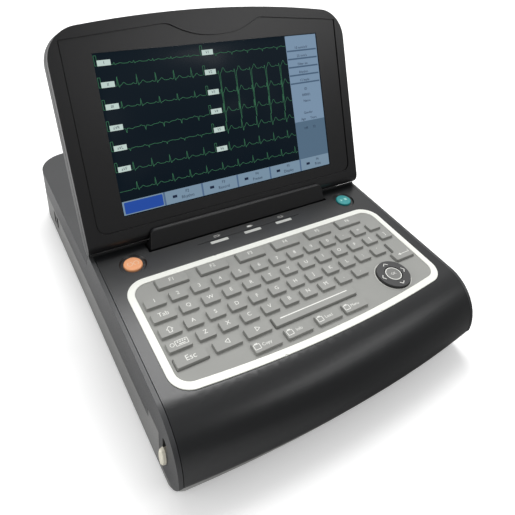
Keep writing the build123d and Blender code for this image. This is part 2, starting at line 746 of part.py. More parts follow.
with BuildPart() as control_deck:
    with BuildSketch(deck_side):
        add(hood_section(0, -hood_bow, 70, -80))
    revolve(axis=bow_axis)
    with BuildSketch(deck_plane.offset(-90)):
        with Locations((0, deck_rear - 120)):
            Rectangle(2 * door_half_width, 240)
    extrude(amount=100, mode=Mode.INTERSECT)
    with BuildSketch(deck_side):
        add(hood_section(deck_wall, -hood_bow, 80, -95))
    revolve(axis=bow_axis, mode=Mode.SUBTRACT)
    with Locations((0, -200, hood_bottom_z - 40)):
        Box(400, 120, 80, mode=Mode.SUBTRACT)
    # Clearance for the hinge cover, opening for the keypad
    with BuildSketch(deck_plane.offset(-5)):
        with Locations((0, 27 + 10)):
            Rectangle(2 * cutout_half_width, 20)
        add(trim_outline(opening_inset, 12))
    extrude(amount=10, mode=Mode.SUBTRACT)
    # Two button wells, three light slots and the fine line that joins them
    with BuildSketch(deck_plane.offset(-well_depth)):
        with Locations(*button_places):
            Circle(button_well)
    extrude(amount=well_depth + 0.1, taper=-well_flare, mode=Mode.SUBTRACT)
    with BuildSketch(deck_plane.offset(-5)):
        with Locations(*button_places):
            Circle(button_radius + 0.3)
        with Locations(*light_places):
            RectangleRounded(light_size[0] + 0.2, light_size[1] + 0.2, 0.7)
    extrude(amount=6, mode=Mode.SUBTRACT)
    with BuildSketch(deck_plane.offset(-0.4)):
        with Locations((0, 18.6)):
            Rectangle(112, 0.7)
    extrude(amount=1, mode=Mode.SUBTRACT)
    # Stiffening ribs under the flat deck, pivot bosses
    with BuildSketch(deck_plane.offset(-6)):
        with Locations((0, 4.5)):
            Rectangle(270, 1.5)
        with Locations(*[(x, -55) for x in (-136, 136)]):
            Rectangle(1.5, 120.5)
    extrude(amount=5)
    with BuildSketch(deck_plane.offset(-6.5)):
        with Locations(*[(x, door_pivot[0]) for x in (-137.9, 137.9)]):
            Rectangle(7.8, 8)
    extrude(amount=5)
    with BuildSketch(*[shaft_plane(x, door_pivot_y, door_pivot_z) for x in (-145, 138)]):
        Circle(door_pin_radius)
    extrude(amount=7, mode=Mode.SUBTRACT)
    # Catch that the latch hook holds
    with Locations((-132.5, -187.3, 29)):
        Box(5, 14.6, 3.4)

with BuildPart() as door_hinge_pins:
    with BuildSketch(*[shaft_plane(x, door_pivot_y, door_pivot_z) for x in (-145, 138)]):
        Circle(door_pin_radius)
    extrude(amount=7)

with BuildPart() as keyboard_trim:
    with BuildSketch(deck_plane):
        add(trim_outline(0, 18))
        add(trim_outline(trim_width, 12), mode=Mode.SUBTRACT)
    extrude(amount=trim_height)
    # Moulding gates, three small notches at its outer edge
    gate_places = [(-48, 0, 1), (-48, -116.4, 1), (48, -116.4, 1)]
    with Locations(*[deck_plane * Location(place) for place in gate_places]):
        Box(1.6, 1.6, 1.4, mode=Mode.SUBTRACT)
    chamfer(keyboard_trim.faces().sort_by(Axis(deck_plane.origin, deck_plane.z_dir))[-1].edges(), 0.3)

with BuildPart() as status_lights:
    with BuildSketch(deck_plane.offset(-2.5)):
        with Locations(*light_places):
            RectangleRounded(*light_size, 0.6)
    extrude(amount=2.65)

key_depth = 10.0
rows = [
    (-29.0, [(-124.0, 17.0)] + [(-103.0 + key_pitch * k, 14.5) for k in range(12)]),
    (-44.0, [(-124.0, 19.5)] + [(-100.5 + key_pitch * k, 14.5) for k in range(12)]),
    (-59.0, [(-124.0, 17.0)] + [(-103.5 + key_pitch * k, 14.5) for k in range(11)]),
    (-73.0, [(-124.0, 19.0)] + [(-100.0 + key_pitch * k, 14.5) for k in range(9)]),
    (-87.5, [(-93.5, 22.5), (-67.0, 22.0)]),
    (-101.5, [(-68.5, 24.0), (-39.5, 24.0), (-10.0, 24.0), (17.5, 24.0)]),
]
soft_key_places = [(-94.5 + 37.6 * i, -13.0) for i in range(6)]
soft_key_size = (27.0, 11.0)
escape_place = (-111.5, -87.5)
escape_size = (25.0, key_depth)
space_place = (-1.0, -87.5)
space_size = (82.0, key_depth)
pad_place = (86.0, -89.0)
pad_radius = 15.5
ok_radius = 8.0
ring_radius = 11.0
pad_pivot_z = -1.5
pad_pin_radius = 0.25
key_corner = 1.3
key_seat = -1.2
key_top = mat_top + key_height


def enter_outline(gap):
    """Outline of the L-shaped enter key."""
    with BuildSketch() as outline:
        with BuildLine():
            Polyline(
                (106.5, -68), (101.5, -68), (101.5, -78), (124.5, -78), (124.5, -54), (106.5, -54), close=True,
            )
        make_face()
        fillet(outline.vertices(), 1.8)
        if gap > 0:
            offset(amount=gap)
    return outline.sketch


with BuildPart() as keypad_mat:
    with BuildSketch(deck_plane.offset(-deck_wall)):
        add(trim_outline(opening_inset + mat_gap, 11.7))
    extrude(amount=deck_wall)
    with BuildSketch(deck_plane):
        add(trim_outline(trim_width + mat_gap, 11.7))
    extrude(amount=mat_top)
    with BuildSketch(deck_plane.offset(mat_top)):
        for row_y, row in rows:
            for left, width in row:
                with Locations((left + width / 2, row_y)):
                    RectangleRounded(width, key_depth, key_corner)
    extrude(amount=key_height, taper=9)
    with BuildSketch(deck_plane.offset(-deck_wall)):
        with Locations(*soft_key_places):
            RectangleRounded(*[side + 2 * key_travel_gap for side in soft_key_size], key_corner)
        with Locations(escape_place):
            RectangleRounded(*[side + 2 * key_travel_gap for side in escape_size], key_corner)
        with Locations(space_place):
            RectangleRounded(*[side + 2 * key_travel_gap for side in space_size], key_corner)
        with Locations(pad_place):
            Circle(pad_radius + 0.5)
        add(enter_outline(key_travel_gap))
    extrude(amount=deck_wall + mat_top, mode=Mode.SUBTRACT)
    with BuildSketch(deck_side.offset(pad_place[0] - pad_radius - 2.3)):
        with Locations((pad_place[1], pad_pivot_z)):
            Circle(pad_pin_radius + running_gap)
    extrude(amount=2 * pad_radius + 4.6, mode=Mode.SUBTRACT)

with BuildPart() as keypad_board:
    with BuildSketch(deck_plane.offset(-deck_wall - board_thickness)):
        add(trim_outline(3.0, 12))
    extrude(amount=board_thickness)


def straight_key(place, width, depth):
    """A key that moves straight down in its hole in the keypad."""
    with BuildPart() as key:
        with BuildSketch(deck_plane.offset(key_seat)):
            with Locations(place):
                RectangleRounded(width, depth, key_corner)
        extrude(amount=mat_top - key_seat)
        with BuildSketch(deck_plane.offset(mat_top)):
            with Locations(place):
                RectangleRounded(width, depth, key_corner)
        extrude(amount=key_height, taper=9)
    return key.part


soft_keys = [straight_key(place, *soft_key_size) for place in soft_key_places]
escape_key = straight_key(escape_place, *escape_size)
space_key = straight_key(space_place, *space_size)

with BuildPart() as enter_key:
    with BuildSketch(deck_plane.offset(key_seat)):
        add(enter_outline(0))
    extrude(amount=mat_top - key_seat)
    with BuildSketch(deck_plane.offset(mat_top)):
        add(enter_outline(0))
    extrude(amount=key_height, taper=9)

with BuildPart() as ok_key:
    with BuildSketch(deck_plane.offset(key_seat)):
        with Locations(pad_place):
            Circle(ok_radius)
    extrude(amount=key_top - 0.2 - key_seat)
    chamfer(ok_key.faces().sort_by(Axis(deck_plane.origin, deck_plane.z_dir))[-1].edges(), 0.5)

# The pad rocks left and right on a ring, and the ring rocks to and fro on the keypad
with BuildPart() as navigation_disc:
    with BuildSketch(deck_plane.offset(-0.5)):
        with Locations(pad_place):
            Circle(pad_radius)
            Circle(ok_radius + 0.5, mode=Mode.SUBTRACT)
    extrude(amount=key_top + 0.5)
    with BuildSketch(deck_plane.offset(-1.9)):
        with Locations(pad_place):
            with GridLocations(0, 2 * (ring_radius + 0.8), 1, 2):
                Rectangle(2, 1.2)
    extrude(amount=1.5)
    for side in (-1, 1):
        with BuildSketch(deck_front.offset(-pad_place[1] - side * (ring_radius + 0.5))):
            with Locations((pad_place[0], pad_pivot_z)):
                Circle(pad_pin_radius)
        extrude(amount=side * 2.0)

with BuildPart() as navigation_pivot:
    with BuildSketch(deck_plane.offset(pad_pivot_z - 0.45)):
        with Locations(pad_place):
            Circle(ring_radius)
            Circle(ring_radius - 1.7, mode=Mode.SUBTRACT)
    extrude(amount=0.9)
    for side in (-1, 1):
        with BuildSketch(deck_side.offset(pad_place[0] + side * (ring_radius - 0.6))):
            with Locations((pad_place[1], pad_pivot_z)):
                Circle(pad_pin_radius)
        extrude(amount=side * (pad_radius - ring_radius + 2.1))
    with BuildSketch(deck_front.offset(-pad_place[1] - ring_radius - 2)):
        with Locations((pad_place[0], pad_pivot_z)):
            Circle(pad_pin_radius + running_gap)
    extrude(amount=2 * ring_radius + 4, mode=Mode.SUBTRACT)


def round_button(place):
    """A domed push button with a flange under the deck."""
    with BuildPart() as button:
        with BuildSketch(deck_plane.offset(-3.6)):
            with Locations(place):
                Circle(button_radius + 1.1)
        extrude(amount=0.8)
        with BuildSketch(deck_plane.offset(-2.9)):
            with Locations(place):
                Circle(button_radius)
        extrude(amount=3.5)
        fillet(button.faces().sort_by(Axis(deck_plane.origin, deck_plane.z_dir))[-1].edges(), 1.2)
    return button.part


power_button = round_button(button_places[0])
start_button = round_button(button_places[1])

with BuildPart() as print_head:
    with BuildSketch(deck_plane.offset(head_bottom)):
        with Locations((0, head_deck_y)):
            Rectangle(2 * paper_half_width + 2, 16)
    extrude(amount=head_top - head_bottom)

with BuildPart() as head_carrier:
    with BuildSketch(deck_side):
        with BuildLine():
            Polyline(
                (-96, -4.1), (-110, -4.1), (-111, -5.1), (-111, carrier_z + 1.2),
                (head_deck_y - 7, carrier_z + 1.2), (head_deck_y - 7, carrier_z), (-109.4, carrier_z),
                (-109.4, -5.7), (-96, -5.7), close=True,
            )
        make_face()
    extrude(amount=90, both=True)

with BuildPart() as head_springs:
    for spring_x in (-62, 0, 62):
        with BuildSketch(deck_plane.offset(head_top)):
            with Locations((spring_x, head_deck_y)):
                Circle(3)
                Circle(2.3, mode=Mode.SUBTRACT)
        extrude(amount=carrier_z - head_top)

# ---------------------------------------------------------------- display

lid_front = lid_half_thickness
lid_back = -lid_half_thickness
bezel_wall = 2.5
recess_depth = 0.8
notch_centre = ear_x + ear_thickness / 2


def display_recess(inset):
    """Outline of the face inside the bezel's raised rim, with the dip at the top."""
    side, low, high = 136.5 - inset, 6.1 + inset, 165.7 - inset
    with BuildSketch() as recess:
        with BuildLine():
            Polyline((0, low), (side, low), (side, high), (49, high + 7.3))
            Spline(
                (49, high + 7.3), (38, high + 3.7), (20, high - 3.1), (0, high - 5.1),
                tangents=((-1, 0.05), (-1, 0)),
            )
            mirror(about=Plane.YZ)
        make_face()
        fillet(recess.vertices().group_by(Axis.Y)[0].sort_by(Axis.X)[0], 9 - inset)
        fillet(recess.vertices().group_by(Axis.Y)[0].sort_by(Axis.X)[-1], 9 - inset)
    return recess.sketch


with BuildPart() as display_bezel:
    with BuildSketch(lid_plane.offset(lid_split)):
        add(lid_outline(0, -12))
    extrude(amount=lid_front - lid_split)
    with BuildSketch(lid_side):
        add(lid_end(lid_half_thickness))
    extrude(amount=200, both=True, mode=Mode.INTERSECT)
    with BuildPart(mode=Mode.SUBTRACT):
        with BuildSketch(lid_plane.offset(lid_split)):
            add(lid_outline(lid_wall, -12))
        extrude(amount=lid_front - bezel_wall - lid_split)
        with BuildSketch(lid_side):
            add(lid_end(lid_half_thickness - lid_wall))
        extrude(amount=200, both=True, mode=Mode.INTERSECT)
    with BuildSketch(lid_plane.offset(lid_front - recess_depth)):
        add(display_recess(0))
    extrude(amount=3, mode=Mode.SUBTRACT)
    # Fine groove round the foot of the raised rim
    with BuildSketch(lid_plane.offset(lid_front - 2 * recess_depth)):
        add(display_recess(0))
        add(display_recess(0.9), mode=Mode.SUBTRACT)
    extrude(amount=recess_depth, mode=Mode.SUBTRACT)
    with BuildSketch(lid_plane):
        with Locations((0, screen_bottom + screen_height / 2)):
            Rectangle(screen_width, screen_height)
    extrude(amount=12, mode=Mode.SUBTRACT)
    with BuildSketch(lid_plane):
        with Locations((-notch_centre, -6.5), (notch_centre, -6.5)):
            Rectangle(7, 11)
    extrude(amount=12, mode=Mode.SUBTRACT)

with BuildPart() as display_shell:
    with BuildSketch(lid_plane.offset(lid_back)):
        add(lid_outline(0, -12))
    extrude(amount=lid_split - lid_back)
    with BuildSketch(lid_side):
        add(lid_end(lid_half_thickness))
    extrude(amount=200, both=True, mode=Mode.INTERSECT)
    with BuildPart(mode=Mode.SUBTRACT):
        with BuildSketch(lid_plane.offset(lid_back + lid_wall)):
            add(lid_outline(lid_wall, -12))
        extrude(amount=lid_split - lid_back)
        with BuildSketch(lid_side):
            add(lid_end(lid_half_thickness - lid_wall))
        extrude(amount=200, both=True, mode=Mode.INTERSECT)
    # Groove round the rim at the joint
    with BuildSketch(lid_plane.offset(lid_split - 1.2)):
        add(lid_outline(-1, -12))
        add(lid_outline(0.9, -12.5), mode=Mode.SUBTRACT)
    extrude(amount=1.2, mode=Mode.SUBTRACT)
    # Raised back
    with BuildSketch(lid_plane.offset(lid_back)):
        with Locations((0, 94)):
            RectangleRounded(240, 148, 14)
    extrude(amount=-lid_bulge, taper=24)
    with BuildSketch(lid_plane.offset(lid_back + lid_wall + 0.1)):
        with Locations((0, 94)):
            RectangleRounded(234, 142, 11)
    extrude(amount=-lid_bulge, taper=24, mode=Mode.SUBTRACT)
    with BuildSketch(lid_plane.offset(lid_back - lid_bulge)):
        with Locations((0, 94)):
            with GridLocations(0, 8, 1, 5):
                SlotOverall(90, 2)
    extrude(amount=5, mode=Mode.SUBTRACT)
    # Hinge barrels and the notches for the bracket ears
    with BuildSketch(lid_side.offset(-notch_centre - 11.5), lid_side.offset(notch_centre - 11.5)):
        Circle(6.8)
        with Locations((0, -4.5)):
            Rectangle(9, 6)
    extrude(amount=23)
    with BuildSketch(lid_side.offset(-notch_centre - 11.5), lid_side.offset(notch_centre - 11.5)):
        Circle(hinge_pin_radius)
    extrude(amount=23, mode=Mode.SUBTRACT)
    with BuildSketch(lid_plane.offset(-12)):
        with Locations((-notch_centre, -1), (notch_centre, -1)):
            Rectangle(7, 22)
    extrude(amount=19, mode=Mode.SUBTRACT)

with BuildPart() as display_hinge_pins:
    with BuildSketch(lid_side.offset(-notch_centre - 11), lid_side.offset(notch_centre - 11)):
        Circle(hinge_pin_radius)
    extrude(amount=22)

with BuildPart() as lcd_panel:
    with BuildSketch(lid_plane.offset(1)):
        with Locations((0, screen_bottom + screen_height / 2)):
            Rectangle(238, 150)
    extrude(amount=lid_front - bezel_wall - 1)

with BuildPart() as display_window:
    with BuildSketch(lid_plane.offset(lid_front - bezel_wall)):
        with Locations((0, screen_bottom + screen_height / 2)):
            Rectangle(screen_width - 0.2, screen_height - 0.2)
    extrude(amount=1.2)

with BuildPart() as display_board:
    with BuildSketch(lid_plane.offset(1 - board_thickness)):
        with Locations((0, 82)):
            Rectangle(120, 80)
    extrude(amount=board_thickness)
    with BuildSketch(lid_plane.offset(1 - board_thickness)):
        with Locations((-30, 90), (20, 70)):
            Rectangle(16, 16)
    extrude(amount=-2)

pieces = {
    "lower_case": lower_case.part,
    "upper_case": upper_case.part,
    "hinge_cover": hinge_cover.part,
    "hinge_bracket_left": hinge_bracket_left.part,
    "hinge_bracket_right": hinge_bracket_right.part,
    "display_rest_pads": display_rest_pads.part,
    "rubber_feet": rubber_feet.part,
    "case_screws": case_screws.part,
    "battery_cover": battery_cover.part,
    "battery_pack": battery_pack.part,
    "main_board": main_board.part,
    "power_supply": power_supply.part,
    "loudspeaker": loudspeaker.part,
    "mains_inlet": mains_inlet.part,
    "network_socket": network_socket.part,
    "earth_stud": earth_stud.part,
    "usb_sockets": usb_sockets.part,
    "patient_socket": patient_socket.part,
    "printer_frame": printer_frame.part,
    "platen_bushes": platen_bushes.part,
    "platen_shaft": platen_shaft.part,
    "platen_roller": platen_roller.part,
    "platen_gear": platen_gear.part,
    "idler_gear": idler_gear.part,
    "motor_pinion": motor_pinion.part,
    "stepper_motor": stepper_motor.part,
    "paper_pack": paper_pack.part,
    "latch_knob": latch_knob.part,
    "latch_link": latch_link.part,
    "latch_hook": latch_hook.part,
    "latch_spring": latch_spring.part,
    "control_deck": control_deck.part,
    "door_hinge_pins": door_hinge_pins.part,
    "keyboard_trim": keyboard_trim.part,
    "keypad_mat": keypad_mat.part,
    "keypad_board": keypad_board.part,
    "status_lights": status_lights.part,
    "print_head": print_head.part,
    "head_carrier": head_carrier.part,
    "head_springs": head_springs.part,
    "power_button": power_button,
    "start_button": start_button,
    "navigation_pivot": navigation_pivot.part,
    "navigation_disc": navigation_disc.part,
    "ok_key": ok_key.part,
    "space_key": space_key,
    "enter_key": enter_key.part,
    "escape_key": escape_key,
    "display_bezel": display_bezel.part,
    "display_shell": display_shell.part,
    "display_window": display_window.part,
    "lcd_panel": lcd_panel.part,
    "display_board": display_board.part,
    "display_hinge_pins": display_hinge_pins.part,
}
for index, key in enumerate(soft_keys):
    pieces[f"f{index + 1}_key"] = key

os.makedirs("parts", exist_ok=True)
for name, piece in pieces.items():
    placed = piece.moved(Location((0, -origin_shift, 0)))
    placed.label = name
    export_step(placed, f"parts/{name}.step")
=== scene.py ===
"""Looks of the portable electrocardiograph: finishes of the CAD pieces, legends, screen picture, light."""

import json
import math

import bpy
from mathutils import Matrix, Vector


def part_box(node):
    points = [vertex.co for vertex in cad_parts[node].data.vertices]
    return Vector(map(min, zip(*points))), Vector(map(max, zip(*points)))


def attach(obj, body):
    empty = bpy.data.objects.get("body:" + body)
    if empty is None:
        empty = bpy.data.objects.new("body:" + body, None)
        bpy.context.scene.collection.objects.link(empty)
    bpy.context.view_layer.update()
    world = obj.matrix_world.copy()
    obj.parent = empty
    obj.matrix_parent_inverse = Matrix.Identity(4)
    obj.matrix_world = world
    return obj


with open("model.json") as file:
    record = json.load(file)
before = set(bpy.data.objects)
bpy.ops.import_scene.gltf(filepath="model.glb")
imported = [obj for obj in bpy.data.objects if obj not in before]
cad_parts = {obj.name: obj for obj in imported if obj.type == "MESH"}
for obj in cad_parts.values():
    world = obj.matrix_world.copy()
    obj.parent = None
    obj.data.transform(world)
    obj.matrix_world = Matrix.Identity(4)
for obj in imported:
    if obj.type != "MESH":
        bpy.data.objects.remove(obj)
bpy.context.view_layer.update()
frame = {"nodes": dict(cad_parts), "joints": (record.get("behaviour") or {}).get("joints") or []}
nodes = frame["nodes"]

MM = 0.001

# ---------------------------------------------------------------- planes, read from the frame

joints = {joint["name"]: joint for joint in frame["joints"]}
deck_up = -Vector(joints["space_press"]["axis"]).normalized()
deck_tilt = math.atan2(-deck_up.y, deck_up.z)
trim_height = 0.9 * MM
trim_rear_top = Vector((0, *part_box("keyboard_trim")[1][1:]))
deck_origin = trim_rear_top - deck_up * trim_height
lid_origin = Vector(joints["display_tilt"]["pos_m"])
lid_origin.x = 0
# The display folds flat at the end of its travel, so that travel is how far it leans up at rest.
lid_angle = math.radians(joints["display_tilt"]["range_deg"][1])


def sloping_plane(origin, angle):
    """Matrix of a plane that rises to the rear by angle: x to the right, y up the slope, z out of it."""
    return Matrix.Translation(origin) @ Matrix.Rotation(angle, 4, "X")


deck = sloping_plane(deck_origin, deck_tilt)
lid = sloping_plane(lid_origin, lid_angle)


def corners_on(plane, node):
    """Lowest and highest corner of a node in a plane's own axes, in millimetres."""
    back = plane.inverted()
    points = [back @ vertex.co for vertex in nodes[node].data.vertices]
    low = [min(point[axis] for point in points) / MM for axis in range(3)]
    high = [max(point[axis] for point in points) / MM for axis in range(3)]
    return low, high


def top_of(plane, node):
    """Height of a node's highest point above a plane, in millimetres."""
    return corners_on(plane, node)[1][2]


def centre_of(plane, node):
    """Centre of a node in a plane's x and y, in millimetres."""
    low, high = corners_on(plane, node)
    return (low[0] + high[0]) / 2, (low[1] + high[1]) / 2


# ---------------------------------------------------------------- materials


def map_range(tree, value, start, end, low=0.0, high=1.0, smooth=False):
    """Adds a node that carries start..end of a value onto low..high."""
    remap = tree.nodes.new("ShaderNodeMapRange")
    if smooth:
        remap.interpolation_type = "SMOOTHSTEP"
    remap.inputs["From Min"].default_value = start
    remap.inputs["From Max"].default_value = end
    remap.inputs["To Min"].default_value = low
    remap.inputs["To Max"].default_value = high
    tree.links.new(value, remap.inputs["Value"])
    return remap.outputs["Result"]


class Shader:
    """A Principled material and short calls that add nodes to it."""

    def __init__(self, name):
        self.material = bpy.data.materials.new(name)
        self.material.use_nodes = True
        self.tree = self.material.node_tree
        self.surface = self.tree.nodes["Principled BSDF"]
        self.place = self.tree.nodes.new("ShaderNodeTexCoord").outputs["Object"]

    def link(self, source, target):
        self.tree.links.new(source, target)

    def set(self, **values):
        """Sets inputs of the surface; an underscore in a name stands for a space."""
        for key, value in values.items():
            self.surface.inputs[key.replace("_", " ")].default_value = value

    def along(self, axis):
        """One coordinate of the object's own space, in metres."""
        split = self.tree.nodes.new("ShaderNodeSeparateXYZ")
        self.link(self.place, split.inputs["Vector"])
        return split.outputs[axis]

    def noise(self, scale, detail=3.0, stretch=(1, 1, 1)):
        """Noise in object space; scale is features per metre."""
        mapping = self.tree.nodes.new("ShaderNodeMapping")
        mapping.inputs["Scale"].default_value = stretch
        self.link(self.place, mapping.inputs["Vector"])
        texture = self.tree.nodes.new("ShaderNodeTexNoise")
        texture.inputs["Scale"].default_value = scale
        texture.inputs["Detail"].default_value = detail
        self.link(mapping.outputs["Vector"], texture.inputs["Vector"])
        return texture.outputs["Fac"]

    def spread(self, fac, low, high):
        """Maps 0.3..0.7 of a noise onto low..high."""
        return map_range(self.tree, fac, 0.3, 0.7, low, high)

    def mix(self, fac, first, second):
        """Mixes two colours by a noise."""
        blend = self.tree.nodes.new("ShaderNodeMix")
        blend.data_type = "RGBA"
        blend.inputs["A"].default_value = (*first, 1)
        blend.inputs["B"].default_value = (*second, 1)
        self.link(fac, blend.inputs["Factor"])
        return blend.outputs["Result"]

    def bump(self, fac, depth):
        """Surface relief; depth in millimetres."""
        relief = self.tree.nodes.new("ShaderNodeBump")
        relief.inputs["Distance"].default_value = depth * MM
        relief.inputs["Strength"].default_value = 1.0
        self.link(fac, relief.inputs["Height"])
        self.link(relief.outputs["Normal"], self.surface.inputs["Normal"])


def plastic_shader(name, colour, roughness, grain=1400, relief=0.02, mottle=0.08, coat=0.0):
    """Moulded plastic: spark-eroded grain, slight unevenness of colour and gloss."""
    shader = Shader(name)
    cloud = shader.noise(18, 5)
    fine = shader.noise(grain, 4)
    darker = tuple(channel * (1 - mottle) for channel in colour)
    lighter = tuple(min(1.0, channel * (1 + mottle)) for channel in colour)
    shader.link(shader.mix(shader.spread(cloud, 0, 1), darker, lighter), shader.surface.inputs["Base Color"])
    shader.link(shader.spread(fine, roughness * 0.88, roughness * 1.12), shader.surface.inputs["Roughness"])
    shader.set(Coat_Weight=coat, Coat_Roughness=0.2)
    shader.bump(fine, relief)
    return shader


def plastic(*settings, **more):
    """The material of plastic_shader."""
    return plastic_shader(*settings, **more).material


def metal(name, colour, roughness, stretch=(1, 1, 1)):
    """Sheet or turned metal with fine lines along one way."""
    shader = Shader(name)
    lines = shader.noise(900, 3, stretch)
    cloud = shader.noise(40, 3)
    darker = tuple(channel * 0.86 for channel in colour)
    shader.link(shader.mix(shader.spread(cloud, 0, 1), darker, colour), shader.surface.inputs["Base Color"])
    shader.link(shader.spread(lines, roughness * 0.75, roughness * 1.25), shader.surface.inputs["Roughness"])
    shader.set(Metallic=1.0)
    shader.bump(lines, 0.01)
    return shader.material


def glowing(name, colour, strength=1.0):
    """A patch of the lit screen, with the panel's fine dots."""
    shader = Shader(name)
    dots = shader.noise(2600, 1)
    darker = tuple(channel * 0.96 for channel in colour)
    tint = shader.mix(shader.spread(dots, 0, 1), darker, colour)
    shader.link(tint, shader.surface.inputs["Emission Color"])
    shader.set(Emission_Strength=strength, Base_Color=(0.002, 0.002, 0.003, 1))
    shader.set(Specular_IOR_Level=0.03, Roughness=0.35)
    return shader.material


def screen_glass():
    """The dark field of the lit screen: navy, a little brighter towards the top."""
    shader = Shader("screen_glass")
    low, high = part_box("display_window")
    fade = map_range(shader.tree, shader.along("Z"), low[2], high[2])
    tint = shader.mix(fade, (0.0050, 0.0100, 0.0165), (0.0068, 0.0130, 0.0195))
    shader.link(tint, shader.surface.inputs["Emission Color"])
    shader.set(Emission_Strength=0.85, Base_Color=(0.001, 0.001, 0.0015, 1), Specular_IOR_Level=0.03)
    fine = shader.noise(1500, 2)
    shader.link(shader.spread(fine, 0.26, 0.34), shader.surface.inputs["Roughness"])
    return shader.material


def circuit_board():
    """Solder mask with paler tracks."""
    shader = Shader("circuit_board")
    tracks = shader.noise(320, 1, (1, 0.25, 1))
    edge = shader.tree.nodes.new("ShaderNodeValToRGB")
    edge.color_ramp.interpolation = "CONSTANT"
    edge.color_ramp.elements[0].color = (0.010, 0.085, 0.035, 1)
    edge.color_ramp.elements[1].position = 0.54
    edge.color_ramp.elements[1].color = (0.03, 0.16, 0.06, 1)
    shader.link(tracks, edge.inputs["Fac"])
    shader.link(edge.outputs["Color"], shader.surface.inputs["Base Color"])
    shader.link(shader.spread(tracks, 0.3, 0.45), shader.surface.inputs["Roughness"])
    shader.bump(tracks, 0.02)
    return shader.material


def tray_plastic():
    """The lower case, with painted light along its front lip: its colour is made paler there to stand in for
    the floor lighting the lip from below.
    """
    lip_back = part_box("lower_case")[0][1] + 14 * MM
    lip_front = lip_back - 4 * MM
    shader = plastic_shader("case_lower", (0.19, 0.19, 0.187), 0.44, relief=0.015)
    base = shader.surface.inputs["Base Color"]
    tint = base.links[0].from_socket
    # Painted light: the base colour is scaled up to 2.6 times towards the front lip, in place of light from
    # the floor below
    lip_light_gain = map_range(shader.tree, shader.along("Y"), lip_back, lip_front, 1.0, 2.6)
    paler = shader.tree.nodes.new("ShaderNodeVectorMath")
    paler.operation = "SCALE"
    shader.link(tint, paler.inputs[0])
    shader.link(lip_light_gain, paler.inputs["Scale"])
    shader.link(paler.outputs["Vector"], base)
    return shader.material


housing = plastic("housing_black", (0.010, 0.0108, 0.0118), 0.33, relief=0.012)
case_upper = plastic("case_upper", (0.034, 0.035, 0.037), 0.42, relief=0.015)
case_lower = tray_plastic()
bezel_black = plastic("bezel_black", (0.009, 0.009, 0.010), 0.36, relief=0.012)
trim_white = plastic("trim_white", (0.86, 0.87, 0.81), 0.38, relief=0.008, mottle=0.02)
keypad_rubber = plastic("keypad_rubber", (0.30, 0.302, 0.285), 0.62, grain=2200, relief=0.02, mottle=0.05)
pad_black = plastic("pad_black", (0.035, 0.035, 0.036), 0.5, grain=2200)
ok_grey = plastic("ok_grey", (0.19, 0.19, 0.182), 0.6, grain=2200, mottle=0.05)
socket_black = plastic("socket_black", (0.018, 0.018, 0.019), 0.5)
legend_ink = plastic("legend_ink", (0.78, 0.78, 0.74), 0.55, mottle=0.03)
# Pale paint for the painted highlight on the rubber rim round the navigation disc
line_ink = plastic("line_ink", (0.62, 0.62, 0.58), 0.5, mottle=0.03)
orange_cap = plastic("orange_cap", (0.98, 0.43, 0.20), 0.42, mottle=0.05, coat=0.1)
teal_cap = plastic("teal_cap", (0.02, 0.34, 0.35), 0.42, mottle=0.06, coat=0.1)
orange_ink = plastic("orange_ink", (0.98, 0.62, 0.42), 0.5)
teal_ink = plastic("teal_ink", (0.35, 0.72, 0.66), 0.5)
cream = plastic("cream_knob", (0.84, 0.80, 0.66), 0.42, mottle=0.05, coat=0.2)
light_pipe = plastic("light_pipe", (0.62, 0.63, 0.60), 0.3, mottle=0.05, coat=0.4)
rubber = plastic("rubber_black", (0.02, 0.02, 0.02), 0.75, grain=700, relief=0.04)
gear_white = plastic("gear_white", (0.75, 0.74, 0.68), 0.5)
paper_white = plastic("paper_white", (0.88, 0.87, 0.82), 0.85, grain=500, relief=0.02, mottle=0.04)
battery_wrap = plastic("battery_wrap", (0.03, 0.07, 0.22), 0.4, mottle=0.1)
steel = metal("steel", (0.52, 0.52, 0.53), 0.34, (1, 0.05, 1))
aluminium = metal("aluminium", (0.70, 0.70, 0.72), 0.4, (0.05, 1, 1))
brass = metal("brass", (0.72, 0.52, 0.24), 0.3)
board = circuit_board()
glass = screen_glass()

